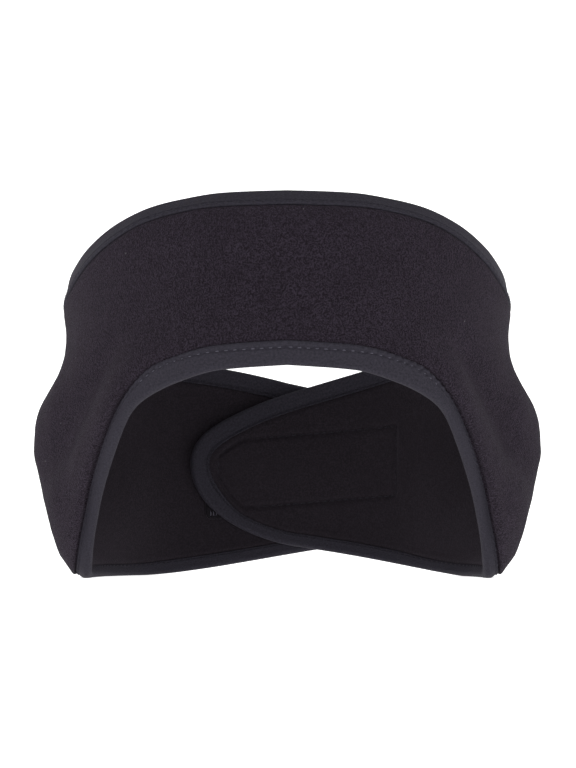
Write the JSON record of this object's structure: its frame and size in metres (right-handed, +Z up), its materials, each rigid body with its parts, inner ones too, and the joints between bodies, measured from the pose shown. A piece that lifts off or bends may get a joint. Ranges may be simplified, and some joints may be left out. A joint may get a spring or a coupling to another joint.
{
  "type": "ear warmer headband",
  "caption": "Charcoal fleece ear warmer headband with bound edges and a hook-and-loop lap at the back, standing open as on a head.",
  "frame": {"origin": "on the surface that the band stands on, under the middle of its box", "axes": "+Z up; -Y the wearer's forehead and +Y the lap at the back; +X the wearer's left, which is the right of the picture"},
  "size_m": [0.1974, 0.2, 0.1441],
  "materials": {
    "fleece": "brushed, lightly pilled, matt",
    "tape": "smooth stretch knit, matt",
    "fastener": "hook-and-loop pile, matt"
  },
  "bodies": {
    "root": {"fleece_band": "fleece", "edge_binding": "tape", "hook_patch": "fastener", "loop_patch": "fastener"}
  },
  "joints": []
}
